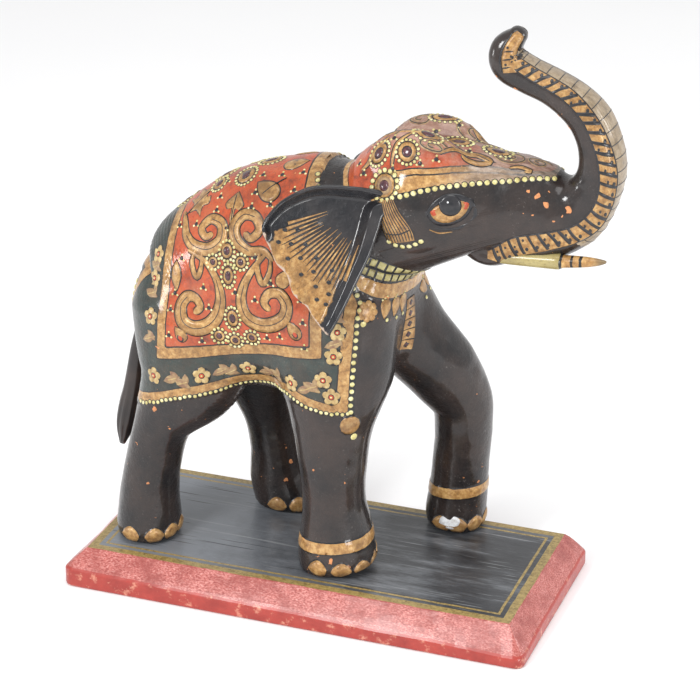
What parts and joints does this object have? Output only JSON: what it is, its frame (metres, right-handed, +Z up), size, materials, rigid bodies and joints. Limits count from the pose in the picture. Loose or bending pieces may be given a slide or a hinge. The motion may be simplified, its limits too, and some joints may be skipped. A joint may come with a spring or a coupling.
{
  "type": "carved wooden elephant figurine",
  "caption": "Painted carved wooden elephant with raised trunk, flared ears, tusks and a decorated saddle cloth, standing on a bevelled rectangular board.",
  "frame": {"origin": "centre of the board's underside, on the surface that it rests on", "axes": "+Z up, +X towards the elephant's front, +Y towards its left side"},
  "size_m": [0.3286, 0.1489, 0.3703],
  "materials": {
    "dark_lacquer": "glossy near-black brown lacquer over carved wood, worn to orange wood at chips",
    "board_paint": "red painted bevel and edges, worn black top with gold lines",
    "tusk_paint": "pale yellow varnished paint on a thin carved tusk",
    "bare_wood": "unpainted softwood dowel, hidden in its sockets",
    "screw_steel": "dull steel wood screw, slightly rusted",
    "red_paint": "glossy vermilion paint",
    "green_paint": "glossy dark green-black paint",
    "gold_paint": "ochre gold paint under tinted varnish",
    "bead_paint": "raised pale yellow dots of thick paint",
    "line_paint": "fine black brush lines",
    "jewel_paint": "dark purple and green painted jewels"
  },
  "bodies": {
    "root": {"base_board": "board_paint", "body_block": "dark_lacquer", "head_block": "dark_lacquer", "trunk": "dark_lacquer", "ear_right": "dark_lacquer", "ear_left": "dark_lacquer", "tusk_right": "tusk_paint", "tusk_left": "tusk_paint", "tail": "dark_lacquer", "neck_dowel": "bare_wood", "trunk_dowel": "bare_wood", "ear_dowels": "bare_wood", "foot_screws": "screw_steel"}
  },
  "joints": []
}
